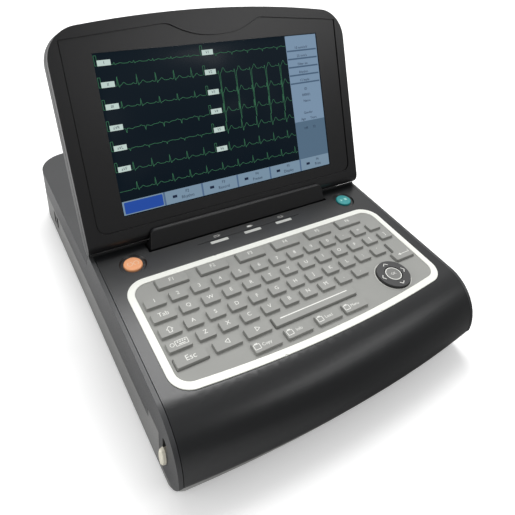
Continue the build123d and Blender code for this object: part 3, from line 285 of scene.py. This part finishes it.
# Each CAD node: its finish and the radius in millimetres to which its moulded edges are softened
finishes = {
    "lower_case": (case_lower, 0.8),
    "upper_case": (case_upper, 1.2),
    "hinge_cover": (bezel_black, 0.8),
    "hinge_bracket_left": (steel, 0.3),
    "hinge_bracket_right": (steel, 0.3),
    "display_rest_pads": (rubber, 0),
    "rubber_feet": (rubber, 0),
    "case_screws": (steel, 0),
    "battery_cover": (case_lower, 0.3),
    "battery_pack": (battery_wrap, 0),
    "main_board": (board, 0),
    "power_supply": (board, 0),
    "loudspeaker": (steel, 0),
    "mains_inlet": (rubber, 0.3),
    "network_socket": (socket_black, 0.2),
    "earth_stud": (brass, 0.2),
    "usb_sockets": (socket_black, 0.15),
    "patient_socket": (rubber, 0.4),
    "printer_frame": (steel, 0),
    "platen_bushes": (gear_white, 0),
    "platen_shaft": (steel, 0),
    "platen_roller": (rubber, 0),
    "platen_gear": (gear_white, 0),
    "idler_gear": (gear_white, 0),
    "motor_pinion": (brass, 0),
    "stepper_motor": (steel, 0),
    "paper_pack": (paper_white, 0),
    "latch_knob": (cream, 1.6),
    "latch_link": (steel, 0),
    "latch_hook": (steel, 0),
    "latch_spring": (steel, 0),
    "control_deck": (housing, 0.5),
    "door_hinge_pins": (steel, 0),
    "keyboard_trim": (trim_white, 0.25),
    "keypad_mat": (keypad_rubber, 0.35),
    "keypad_board": (board, 0),
    "status_lights": (light_pipe, 0.2),
    "print_head": (aluminium, 0),
    "head_carrier": (steel, 0),
    "head_springs": (steel, 0),
    "power_button": (orange_cap, 0.5),
    "start_button": (teal_cap, 0.5),
    "navigation_pivot": (gear_white, 0),
    "navigation_disc": (pad_black, 0.6),
    "ok_key": (ok_grey, 0.4),
    "space_key": (keypad_rubber, 0.35),
    "enter_key": (keypad_rubber, 0.35),
    "escape_key": (keypad_rubber, 0.35),
    "display_bezel": (bezel_black, 0.8),
    "display_shell": (case_upper, 1.0),
    "display_window": (glass, 0),
    "lcd_panel": (aluminium, 0),
    "display_board": (board, 0),
    "display_hinge_pins": (steel, 0),
}
for number in range(1, 7):
    finishes[f"f{number}_key"] = (keypad_rubber, 0.35)


def soften(piece, radius):
    """Rounds a CAD piece's sharp edges with modifiers and smooths its shading."""
    weld = piece.modifiers.new("weld", "WELD")
    weld.merge_threshold = 0.002 * MM
    if radius > 0:
        flatten = piece.modifiers.new("flatten", "DECIMATE")
        flatten.decimate_type = "DISSOLVE"
        flatten.angle_limit = math.radians(0.4)
        bevel = piece.modifiers.new("edges", "BEVEL")
        bevel.width = radius * MM
        bevel.segments = 3
        bevel.limit_method = "ANGLE"
        bevel.angle_limit = math.radians(28)
        bevel.use_clamp_overlap = True
        bevel.harden_normals = False
        normals = piece.modifiers.new("normals", "WEIGHTED_NORMAL")
        normals.keep_sharp = True
    for polygon in piece.data.polygons:
        polygon.use_smooth = True


for name, (finish, radius) in finishes.items():
    piece = nodes[name]
    piece.data.materials.clear()
    piece.data.materials.append(finish)
    soften(piece, radius)

# ---------------------------------------------------------------- flat marks: ink and screen patches


class Marks:
    """Collects flat shapes on a plane and makes one mesh of them."""

    def __init__(self, plane):
        self.plane = plane
        self.points = []
        self.faces = []

    def polygon(self, outline, level):
        """A flat polygon from (x, y) points; all lengths and the level above the plane are millimetres."""
        first = len(self.points)
        self.points += [self.plane @ Vector((x * MM, y * MM, level * MM)) for x, y in outline]
        self.faces.append(tuple(range(first, first + len(outline))))

    def rectangle(self, x, y, width, depth, level, corner=0.0):
        """A rectangle from its lower left corner; corner is the radius of its corners."""
        if corner <= 0:
            self.polygon([(x, y), (x + width, y), (x + width, y + depth), (x, y + depth)], level)
            return
        centres = [
            (x + width - corner, y + depth - corner, 0),
            (x + corner, y + depth - corner, 90),
            (x + corner, y + corner, 180),
            (x + width - corner, y + corner, 270),
        ]
        outline = []
        for cx, cy, start in centres:
            for step in range(5):
                angle = math.radians(start + step * 22.5)
                outline.append((cx + corner * math.cos(angle), cy + corner * math.sin(angle)))
        self.polygon(outline, level)

    def ring(self, x, y, inner, outer, level, start=0, sweep=360, steps=48):
        """A flat ring or arc."""
        for step in range(steps):
            a = math.radians(start + sweep * step / steps)
            b = math.radians(start + sweep * (step + 1) / steps)
            corners = [
                (x + inner * math.cos(a), y + inner * math.sin(a)),
                (x + outer * math.cos(a), y + outer * math.sin(a)),
                (x + outer * math.cos(b), y + outer * math.sin(b)),
                (x + inner * math.cos(b), y + inner * math.sin(b)),
            ]
            self.polygon(corners, level)

    def stroke(self, line, width, level):
        """A line of constant width that runs on smoothly through (x, y) points."""
        half = width / 2
        left, right = [], []
        for index, (x, y) in enumerate(line):
            x0, y0 = line[max(index - 1, 0)]
            x1, y1 = line[min(index + 1, len(line) - 1)]
            length = math.hypot(x1 - x0, y1 - y0) or 1
            nx, ny = -(y1 - y0) / length * half, (x1 - x0) / length * half
            left.append((x + nx, y + ny))
            right.append((x - nx, y - ny))
        for index in range(len(line) - 1):
            self.polygon([right[index], right[index + 1], left[index + 1], left[index]], level)

    def path(self, line, width, level):
        """Separate straight strokes from point to point."""
        for start, end in zip(line, line[1:]):
            self.stroke([start, end], width, level)

    def lettering(self, text, x, y, size, level):
        """Letters in the plain built-in face, centred on (x, y); size is the cap height."""
        curve = bpy.data.curves.new("letters", "FONT")
        curve.body = text
        curve.size = size / 0.7 * MM
        curve.align_x = "CENTER"
        curve.align_y = "CENTER"
        curve.resolution_u = 3
        carrier = bpy.data.objects.new("letters", curve)
        bpy.context.scene.collection.objects.link(carrier)
        bpy.context.view_layer.update()
        flat = carrier.evaluated_get(bpy.context.evaluated_depsgraph_get()).to_mesh()
        first = len(self.points)
        shift = Vector((x * MM, y * MM, level * MM))
        self.points += [self.plane @ (vertex.co + shift) for vertex in flat.vertices]
        self.faces += [tuple(first + i for i in polygon.vertices) for polygon in flat.polygons]
        carrier.to_mesh_clear()
        bpy.data.objects.remove(carrier)

    def build(self, name, material, body, slot="trim_white"):
        """Makes the mesh object and rides it on its body."""
        mesh = bpy.data.meshes.new(name)
        mesh.from_pydata([tuple(point) for point in self.points], [], self.faces)
        mesh.validate()
        mesh.materials.append(material)
        piece = bpy.data.objects.new(name, mesh)
        bpy.context.scene.collection.objects.link(piece)
        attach(piece, body)


# ---------------------------------------------------------------- keyboard legends

INK = 0.03  # how far the ink stands off what it is printed on
LETTER = 3.6  # cap height of the letters
key_pitch = 19.05
key_width = 14.5


def ink_level(node):
    """Level of ink printed on the top of a node of the keyboard deck."""
    return top_of(deck, node) + INK


key_top = ink_level("space_key")
ok_top = ink_level("ok_key")
disc_top = ink_level("navigation_disc")
pad_x, pad_y = centre_of(deck, "ok_key")

# Each row: its height on the deck, the left edge of its first key, and its signs
legend_rows = [
    (-28.2, -103.0, "234567890-="),
    (-43.2, -100.5, "QWERTYUIOP[]"),
    (-58.2, -103.5, "ASDFGHJKL;'"),
    (-72.2, -100.0, "ZXCVBNM,."),
]
mat_ink = Marks(deck)
mat_ink.lettering("1", -115.5, -28.2, LETTER, key_top)
mat_ink.lettering("Tab", -114.2, -43.2, 4.0, key_top)
for row_y, left, letters in legend_rows:
    for index, letter in enumerate(letters):
        mat_ink.lettering(letter, left + key_width / 2 + key_pitch * index, row_y, LETTER, key_top)


def arrow(marks, x, y, size, turn, level):
    """An outlined arrowhead, pointing up before it is turned by degrees."""
    corners = [(-size, -size * 0.8), (0, size), (size, -size * 0.8), (-size, -size * 0.8)]
    cos_turn, sin_turn = math.cos(math.radians(turn)), math.sin(math.radians(turn))
    placed = [(x + px * cos_turn - py * sin_turn, y + px * sin_turn + py * cos_turn) for px, py in corners]
    marks.path(placed, 0.5, level)


def outline_box(marks, x, y, width, depth, level, line=0.45):
    """An outlined rectangle."""
    left, right, low, high = x - width / 2, x + width / 2, y - depth / 2, y + depth / 2
    marks.path([(left, low), (right, low), (right, high), (left, high), (left, low)], line, level)


# Shift arrow, keyboard sign, cursor arrows and the four function signs
shift = [(-2.6, 0.2), (0, 3.0), (2.6, 0.2), (1.3, 0.2), (1.3, -2.6), (-1.3, -2.6), (-1.3, 0.2), (-2.6, 0.2)]
mat_ink.path([(-115.5 + x, -58.8 + y) for x, y in shift], 0.55, key_top)
outline_box(mat_ink, -112.2, -72.6, 9.5, 4.6, key_top)
for offset_x in (-2.8, -0.9, 1.0, 2.9):
    mat_ink.rectangle(-112.7 + offset_x, -72.2, 1.0, 1.0, key_top)
mat_ink.rectangle(-114.8, -74.1, 5.0, 0.7, key_top)
mat_ink.ring(-119.6, -72.6, 1.3, 1.75, key_top, steps=20)
arrow(mat_ink, -82.2, -86.9, 2.0, 90, key_top)
arrow(mat_ink, -56.0, -86.9, 2.0, -90, key_top)
function_keys = [(-62.5, "Copy"), (-33.0, "Info"), (-4.0, "Lead"), (23.5, "Menu")]
for sign_x, word in function_keys:
    outline_box(mat_ink, sign_x - 2.2, -101.4, 5.0, 4.2, key_top, 0.55)
    mat_ink.rectangle(sign_x - 3.6, -99.3, 2.8, 1.1, key_top)
    mat_ink.lettering(word, sign_x + 6.2, -101.4, 2.7, key_top)
mat_ink.build("keypad_legends", legend_ink, "paper_door")

worded_keys = [(f"f{number}", f"F{number}", LETTER) for number in range(1, 7)] + [("escape", "Esc", 4.6)]
for body, word, size in worded_keys:
    key_x, key_y = centre_of(deck, f"{body}_key")
    ink = Marks(deck)
    ink.lettering(word, key_x, key_y + 0.6, size, key_top)
    ink.build(f"{body}_legend", legend_ink, body)

key_x, key_y = centre_of(deck, "space_key")
ink = Marks(deck)
ink.rectangle(key_x - 34, key_y + 0.6, 68, 1.0, key_top, 0.4)
ink.build("space_legend", legend_ink, "space")

ink = Marks(deck)
ink.stroke([(121.5, -69.8), (121.5, -72.4), (110.5, -72.4)], 0.55, key_top)
ink.polygon([(107.8, -72.4), (110.8, -71.0), (110.8, -73.8)], key_top)
ink.build("enter_legend", legend_ink, "enter")

# Navigation pad: pale ring round the OK key, four arrow signs, and a painted highlight ring round the disc
ink = Marks(deck)
ink.ring(pad_x, pad_y, 6.7, 7.5, ok_top)
ink.lettering("OK", pad_x, pad_y, 2.6, ok_top)
ink.build("ok_legend", legend_ink, "ok")
ink = Marks(deck)
for turn in (0, 90, 180, 270):
    angle = math.radians(turn + 90)
    tip_x, tip_y = pad_x + 13.0 * math.cos(angle), pad_y + 13.0 * math.sin(angle)
    side = math.radians(turn)
    back_x, back_y = -2.2 * math.cos(angle), -2.2 * math.sin(angle)
    for sign in (-1, 1):
        end = (tip_x + back_x + sign * 2.6 * math.cos(side), tip_y + back_y + sign * 2.6 * math.sin(side))
        ink.stroke([(tip_x, tip_y), end], 0.7, disc_top)
ink.build("navigation_arrows", legend_ink, "navigation_y")
# Painted highlight: a pale ring on the mat round the disc stands in for light caught on its raised rubber
# rim
ink = Marks(deck)
mat_surface = 0.3  # the flat of the mat above the deck
ink.ring(pad_x, pad_y, 16.3, 17.0, mat_surface + INK, steps=64)
ink.build("navigation_rim_highlight", line_ink, "paper_door")

# Signs on the two round buttons and above the status lights
key_x, key_y = centre_of(deck, "power_button")
button_top = ink_level("power_button")
ink = Marks(deck)
ink.ring(key_x - 2.6, key_y, 1.8, 2.4, button_top, 110, 320, 28)
ink.ring(key_x + 2.6, key_y, 1.8, 2.4, button_top, 290, 320, 28)
ink.build("power_sign", orange_ink, "power")
key_x, key_y = centre_of(deck, "start_button")
button_top = ink_level("start_button")
ink = Marks(deck)
ink.polygon([(key_x - 4.2, key_y - 1.8), (key_x - 1.2, key_y), (key_x - 4.2, key_y + 1.8)], button_top)
ink.rectangle(key_x + 0.8, key_y - 1.6, 3.2, 3.2, button_top)
ink.build("start_sign", teal_ink, "start")

ink = Marks(deck)
for light_x in (-35.0, 0.5, 36.0):
    outline_box(ink, light_x, 22.6, 4.6, 1.9, INK, 0.35)
    ink.stroke([(light_x + 2.6, 22.6), (light_x + 3.8, 22.6)], 0.5, INK)
ink.rectangle(-1.4, 21.9, 3.6, 1.4, INK)
ink.build("status_signs", legend_ink, "paper_door")

# ---------------------------------------------------------------- the picture on the screen

window_low, window_high = corners_on(lid, "display_window")
half_screen = (window_high[0] - window_low[0]) / 2
LAYER = 0.04  # the patches of the picture lie one layer above another on the window
patch_level, detail_level, text_level = (window_high[2] + LAYER * layer for layer in (1, 2, 3))
TRACE_WIDTH = 0.38

trace_green = glowing("trace_green", (0.045, 0.17, 0.085))
label_white = glowing("label_white", (0.52, 0.64, 0.60))
panel_blue = glowing("panel_blue", (0.089, 0.15, 0.22))
panel_pale = glowing("panel_pale", (0.195, 0.287, 0.40))
panel_deep = glowing("panel_deep", (0.07, 0.12, 0.19))
key_pale = glowing("key_pale", (0.19, 0.28, 0.37))
key_edge = glowing("key_edge", (0.085, 0.145, 0.25))
key_blue = glowing("key_blue", (0.02, 0.072, 0.35))
text_dark = glowing("text_dark", (0.015, 0.025, 0.06), 0.8)


def screen_y(height_mm):
    """Place up the lid of a point given as millimetres above the screen's lower edge."""
    return window_low[1] + height_mm


def heartbeat(t, spike, dip, wave):
    """One beat as height in millimetres at t millimetres from its R peak."""
    pulse = 0.9 * math.exp(-(((t + 3.6) / 1.0) ** 2))
    peak = spike * math.exp(-((t / 0.42) ** 2))
    trough = -dip * math.exp(-(((t - 0.9) / 0.5) ** 2))
    recovery = wave * math.exp(-(((t - 5.0) / 1.7) ** 2))
    return pulse + peak + trough + recovery


def trace(marks, start, end, base, beats, spike, dip, wave):
    """One lead's line across the screen."""
    line = []
    x = start
    while x <= end:
        height_mm = base + sum(heartbeat(x - beat, spike, dip, wave) for beat in beats)
        line.append((x, screen_y(height_mm)))
        x += 0.3
    marks.stroke(line, TRACE_WIDTH, patch_level)


beat_pitch = 16.6
left_start, right_start, side_panel = -111.5, -18.0, 74.0
left_beats = [-96 + beat_pitch * index for index in range(5)]
right_beats = [-3 + beat_pitch * index for index in range(5)]
lead_heights = [126.5, 109.0, 91.0, 73.5, 56.5, 38.5]
# How each lead's beat looks: spike, dip and wave of heartbeat()
left_leads = [
    (1.6, 0.6, 0.7), (8.0, 1.6, 2.2), (5.6, 1.0, 1.2), (-4.0, 0.0, -1.0), (-2.2, 0.0, 0.5), (6.8, 1.4, 1.6),
]
right_leads = [
    (-2.4, 0.0, 0.8), (3.0, 22.0, 4.4), (4.5, 18.0, 4.6), (8.5, 9.5, 4.2), (9.0, 3.5, 3.6), (7.5, 1.6, 2.4),
]
green = Marks(lid)
for base, left_lead, right_lead in zip(lead_heights, left_leads, right_leads):
    trace(green, left_start, right_start - 1, base, left_beats, *left_lead)
    trace(green, right_start, side_panel - 0.5, base, right_beats, *right_lead)
    for pulse_x in (left_start, right_start):
        foot, top = screen_y(base), screen_y(base + 8)
        calibration = [(pulse_x, foot), (pulse_x, top), (pulse_x + 2.0, top), (pulse_x + 2.0, foot)]
        green.path(calibration, TRACE_WIDTH, patch_level)
rhythm_beats = [-96 + beat_pitch * index for index in range(11)]
trace(green, left_start, side_panel - 0.5, 21.5, rhythm_beats, 6.8, 1.4, 1.6)
green.build("screen_traces", trace_green, "display", "screen_glass")

labels = Marks(lid)
words = Marks(lid)
lead_names = [["I", "II", "III", "aVR", "aVL", "aVF"], ["V1", "V2", "V3", "V4", "V5", "V6"]]
for label_x, names in zip((-109.5, -16.5), lead_names):
    for label_y, word in zip(lead_heights, names):
        labels.rectangle(label_x, screen_y(label_y - 0.4), 11, 4.6, detail_level)
        words.lettering(word, label_x + 5.5, screen_y(label_y + 1.9), 2.4, text_level)
labels.build("screen_labels", label_white, "display", "screen_glass")

side = Marks(lid)
side.rectangle(side_panel, screen_y(12.8), half_screen - side_panel - 0.8, 123.0, patch_level)
side.build("screen_side_panel", panel_pale, "display", "screen_glass")
bars = Marks(lid)
side_width = half_screen - side_panel - 2.4
bars.rectangle(side_panel, screen_y(12.8), side_width + 1.6, 38.0, detail_level)
bars.build("screen_side_foot", panel_blue, "display", "screen_glass")
rules = Marks(lid)
for rule_y in (120.5, 112.6, 104.6, 96.6, 88.6):
    rules.rectangle(side_panel + 0.6, screen_y(rule_y), side_width, 1.5, detail_level)
rules.build("screen_side_rules", panel_deep, "display", "screen_glass")

side_lines = [
    (124.0, "10 mm/mV"), (116.0, "25 mm/s"), (108.0, "Filter on"), (100.0, "Rhythm"), (92.0, "12 leads"),
    (83.0, "ID"), (77.0, "000001"), (71.0, "Name"), (59.0, "Gender"), (53.0, "Age      Years"),
    (43.5, "HR      72"),
]
for line_y, text in side_lines:
    words.lettering(text, side_panel + side_width / 2, screen_y(line_y), 2.5, text_level)

soft_width = 36.9
soft_left = -half_screen + 0.4
soft_names = ["Menu", "Rhythm", "Record", "Freeze", "Display", "Print"]
soft = Marks(lid)
soft_edges = Marks(lid)
chosen = Marks(lid)
soft.rectangle(soft_left, screen_y(0.8), 2 * half_screen - 1.2, 12.0, patch_level)
for index, soft_name in enumerate(soft_names):
    left = soft_left + 0.6 + index * (soft_width + 0.2)
    if index == 0:
        chosen.rectangle(left + 0.8, screen_y(1.6), soft_width - 2.2, 10.2, detail_level, 1.0)
        continue
    soft_edges.rectangle(left - 0.9, screen_y(0.9), 1.7, 11.8, detail_level)
    words.lettering(f"F{index + 1}", left + 22, screen_y(9.4), 2.6, text_level)
    words.lettering(soft_name, left + 22, screen_y(4.6), 2.8, text_level)
    words.rectangle(left + 7.5, screen_y(5.6), 4.2, 2.4, text_level)
soft.build("screen_soft_keys", key_pale, "display", "screen_glass")
soft_edges.build("screen_soft_edges", key_edge, "display", "screen_glass")
chosen.build("screen_chosen_key", key_blue, "display", "screen_glass")
words.build("screen_words", text_dark, "display", "screen_glass")

# ---------------------------------------------------------------- floor, light, camera


def add_floor(glow):
    """A pale floor under the object; paler on the left, where the object mirrors it."""
    bpy.ops.mesh.primitive_plane_add(size=8, location=(0, 0, -0.0002))
    floor = bpy.context.object
    floor.name = "floor"
    shader = Shader("floor_paint")
    seen = shader.tree.nodes.new("ShaderNodeLightPath").outputs["Is Camera Ray"]
    to_right = map_range(shader.tree, shader.along("X"), -0.25, 0.05)
    mirrored = shader.mix(to_right, (0.85, 0.85, 0.85), (0.22, 0.22, 0.22))
    paint = shader.mix(seen, (0, 0, 0), (0.92, 0.92, 0.92))
    shader.link(mirrored, paint.node.inputs["A"])
    shader.link(paint, shader.surface.inputs["Base Color"])
    shader.link(shader.mix(seen, (0, 0, 0), (1, 1, 1)), shader.surface.inputs["Emission Color"])
    shader.set(Emission_Strength=glow, Roughness=0.8, Specular_IOR_Level=0.0)
    floor.data.materials.append(shader.material)


def add_light(name, place, aim, size, power):
    """A soft rectangular light."""
    data = bpy.data.lights.new(name, "AREA")
    data.shape = "RECTANGLE"
    data.size, data.size_y = size
    data.energy = power
    lamp = bpy.data.objects.new(name, data)
    lamp.location = place
    lamp.rotation_euler = (Vector(aim) - Vector(place)).to_track_quat("-Z", "Y").to_euler()
    bpy.context.scene.collection.objects.link(lamp)


def add_world(front, rear, overhead):
    """Plain surroundings: dim in front, brighter behind and overhead, white to the camera."""
    world = bpy.data.worlds.new("studio")
    world.use_nodes = True
    tree = world.node_tree
    split = tree.nodes.new("ShaderNodeSeparateXYZ")
    tree.links.new(tree.nodes.new("ShaderNodeTexCoord").outputs["Generated"], split.inputs["Vector"])
    level = map_range(tree, split.outputs["Y"], -0.7, 0.6, front, rear, smooth=True)
    above = map_range(tree, split.outputs["Z"], 0.2, 0.95, 0.0, overhead, smooth=True)
    camera_ray = tree.nodes.new("ShaderNodeLightPath").outputs["Is Camera Ray"]
    for operation, addend in [("ADD", above), ("MAXIMUM", camera_ray)]:
        step = tree.nodes.new("ShaderNodeMath")
        step.operation = operation
        tree.links.new(level, step.inputs[0])
        tree.links.new(addend, step.inputs[1])
        level = step.outputs["Value"]
    background = tree.nodes["Background"]
    tree.links.new(level, background.inputs["Strength"])
    background.inputs["Color"].default_value = (1, 1, 1, 1)
    bpy.context.scene.world = world


def add_camera():
    """A three-quarter view from the operator's left, slightly rolled, as a hand-held camera would see it."""
    place = deck_origin + Vector((-0.2163, -0.3036, 0.3004))
    azimuth, elevation, roll = (math.radians(degrees) for degrees in (-37.05, 35.13, 8.82))
    level_ahead = Vector((-math.sin(azimuth), math.cos(azimuth), 0))
    forward = level_ahead * math.cos(elevation) - Vector((0, 0, math.sin(elevation)))
    data = bpy.data.cameras.new("camera")
    data.sensor_width = 36
    data.lens = 35.66
    data.shift_x, data.shift_y = -0.0233, -0.1408
    data.clip_start = 0.01
    camera = bpy.data.objects.new("camera", data)
    level = forward.to_track_quat("-Z", "Y").to_matrix().to_4x4()
    tilt = Matrix.Rotation(deck_tilt, 4, "X")
    camera.matrix_world = Matrix.Translation(place) @ tilt @ level @ Matrix.Rotation(roll, 4, "Z")
    bpy.context.scene.collection.objects.link(camera)
    bpy.context.scene.camera = camera


add_floor(glow=0.25)
add_world(front=0.22, rear=0.60, overhead=0.26)
add_light("key_box", (0.45, 0.9, 1.9), (0, -0.05, 0), (1.3, 1.0), 31)
add_light("front_box", (0.65, -0.95, 0.85), (0, -0.15, 0.05), (0.9, 0.35), 2.6)
add_light("left_box", (-1.2, 0.15, 0.35), (0, 0, 0.05), (0.9, 0.8), 4.5)
bpy.context.scene.view_settings.view_transform = "Standard"
add_camera()

bpy.context.view_layer.update()
